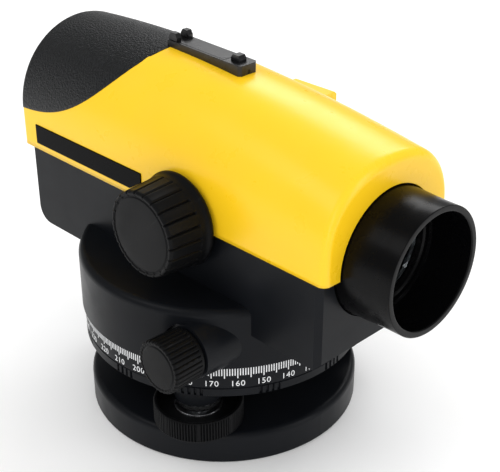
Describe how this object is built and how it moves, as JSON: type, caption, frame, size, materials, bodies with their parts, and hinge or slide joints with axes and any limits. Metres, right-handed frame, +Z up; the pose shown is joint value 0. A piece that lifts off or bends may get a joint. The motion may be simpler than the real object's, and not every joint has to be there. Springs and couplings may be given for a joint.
{
  "type": "automatic level",
  "caption": "Surveyor's automatic level: telescope in a yellow and black housing over a drum, graduated ring and three foot screws on a round base plate.",
  "frame": {"origin": "centre of the tripod thread, on the underside of the base plate, on the vertical axis", "axes": "+X along the line of sight towards the objective, +Z up along the vertical axis; the focusing knob is on the -Y side and the circular level on the +Y side"},
  "size_m": [0.2162, 0.132, 0.1538],
  "materials": {
    "black_paint": "satin",
    "yellow_paint": "satin",
    "black_plastic": "matte",
    "black_gloss": "gloss",
    "black_knob": "satin",
    "black_barrel": "satin",
    "black_rubber": "matte",
    "marking_white": "matte",
    "steel": "satin",
    "aluminium": "satin",
    "brass": "satin",
    "glass": "gloss",
    "vial_glass": "gloss"
  },
  "bodies": {
    "base": {"base_plate": "black_paint", "spring_plate": "steel", "spring_plate_screws": "steel"},
    "foot_screw_1": {"foot_knob_1": "black_knob", "foot_spindle_1": "steel"},
    "foot_screw_2": {"foot_knob_2": "black_knob", "foot_spindle_2": "steel"},
    "foot_screw_3": {"foot_knob_3": "black_knob", "foot_spindle_3": "steel"},
    "tribrach": {"tribrach_body": "black_paint", "foot_bushes": "steel", "axis_sleeve": "brass", "sleeve_screws": "steel", "friction_washer": "steel"},
    "circle": {"circle_ring": "black_paint"},
    "wheel": {"worm_wheel": "brass"},
    "tangent": {"tangent_shaft": "steel", "worm": "steel", "tangent_knob_right": "black_knob", "tangent_knob_left": "black_knob"},
    "focus": {"focus_knob": "black_knob", "focus_pinion": "steel"},
    "focus_slide": {"focus_cell": "brass", "focus_lens": "glass"},
    "pendulum": {"pendulum": "brass", "pendulum_prism": "glass"},
    "dioptre": {"dioptre_ring": "black_knob"},
    "eyepiece": {"eyepiece_cell": "black_barrel", "eyepiece_lenses": "glass", "eyecup": "black_rubber"},
    "alidade": {"lower_housing": "black_paint", "drum_housing": "black_paint", "upper_cover": "yellow_paint", "rear_hood": "black_plastic", "name_plate": "black_gloss", "sight_rail": "black_plastic", "cover_screws": "steel", "vertical_axis": "steel", "axis_nut": "brass", "axis_screws": "steel", "objective_barrel": "black_barrel", "objective_lens": "glass", "lens_retainer": "black_barrel", "barrel_saddle": "aluminium", "telescope_tube": "black_barrel", "compensator_frame": "aluminium", "fixed_prism": "glass", "eyepiece_mount": "black_barrel", "reticle_ring": "brass", "reticle": "glass", "focus_bush": "brass", "tangent_bushes": "brass", "level_bracket": "black_paint", "level_case": "black_barrel", "level_vial": "vial_glass", "level_screws": "steel", "prism_hood": "yellow_paint", "bubble_prism": "glass"}
  },
  "joints": [
    {"name": "levelling_tilt", "type": "hinge", "parent": "base", "child": "tribrach", "pos_m": [-0.01292, 0.01915, 0.0075], "axis": [0.829, 0.5592, 0], "range_deg": [-1.2, 1.2]},
    {"name": "foot_screw_1_turn", "type": "hinge", "parent": "base", "child": "foot_screw_1", "pos_m": [0.02584, -0.0383, 0.019], "axis": [0, 0, 1], "range_deg": [-530, 530]},
    {"name": "foot_screw_2_turn", "type": "hinge", "parent": "base", "child": "foot_screw_2", "pos_m": [0.02025, 0.04152, 0.019], "axis": [0, 0, 1], "range_deg": [-530, 530]},
    {"name": "foot_screw_3_turn", "type": "hinge", "parent": "base", "child": "foot_screw_3", "pos_m": [-0.04609, -0.00322, 0.019], "axis": [0, 0, 1], "range_deg": [-530, 530]},
    {"name": "circle_turn", "type": "hinge", "parent": "tribrach", "child": "circle", "pos_m": [0, 0, 0.039], "axis": [0, 0, 1], "continuous": true},
    {"name": "clutch_turn", "type": "hinge", "parent": "tribrach", "child": "wheel", "pos_m": [0, 0, 0.053], "axis": [0, 0, 1], "continuous": true},
    {"name": "fine_turn", "type": "hinge", "parent": "wheel", "child": "alidade", "pos_m": [0, 0, 0.053], "axis": [0, 0, 1], "continuous": true},
    {"name": "tangent_turn", "type": "hinge", "parent": "alidade", "child": "tangent", "pos_m": [0.0353, 0, 0.0559], "axis": [0, 1, 0], "continuous": true},
    {"name": "focus_turn", "type": "hinge", "parent": "alidade", "child": "focus", "pos_m": [0.0147, -0.04, 0.0981], "axis": [0, 1, 0], "range_deg": [-150, 150]},
    {"name": "focus_travel", "type": "slide", "parent": "alidade", "child": "focus_slide", "axis": [1, 0, 0], "range_m": [-0.0106, 0.0106]},
    {"name": "dioptre_turn", "type": "hinge", "parent": "alidade", "child": "dioptre", "pos_m": [-0.098, 0, 0.0979], "axis": [1, 0, 0], "range_deg": [-150, 150]},
    {"name": "eyepiece_travel", "type": "slide", "parent": "alidade", "child": "eyepiece", "axis": [1, 0, 0], "range_m": [-0.001, 0.001]},
    {"name": "pendulum_swing", "type": "hinge", "parent": "alidade", "child": "pendulum", "pos_m": [-0.029, 0, 0.114], "axis": [0, 1, 0], "range_deg": [-0.5, 0.5]}
  ],
  "couplings": [
    {"joint": "foot_screw_1_turn", "follows": "levelling_tilt", "ratio": 435.42},
    {"joint": "tangent_turn", "follows": "fine_turn", "ratio": 90},
    {"joint": "focus_travel", "follows": "focus_turn", "m_per_rad": -0.004},
    {"joint": "eyepiece_travel", "follows": "dioptre_turn", "m_per_rad": 0.00038}
  ]
}
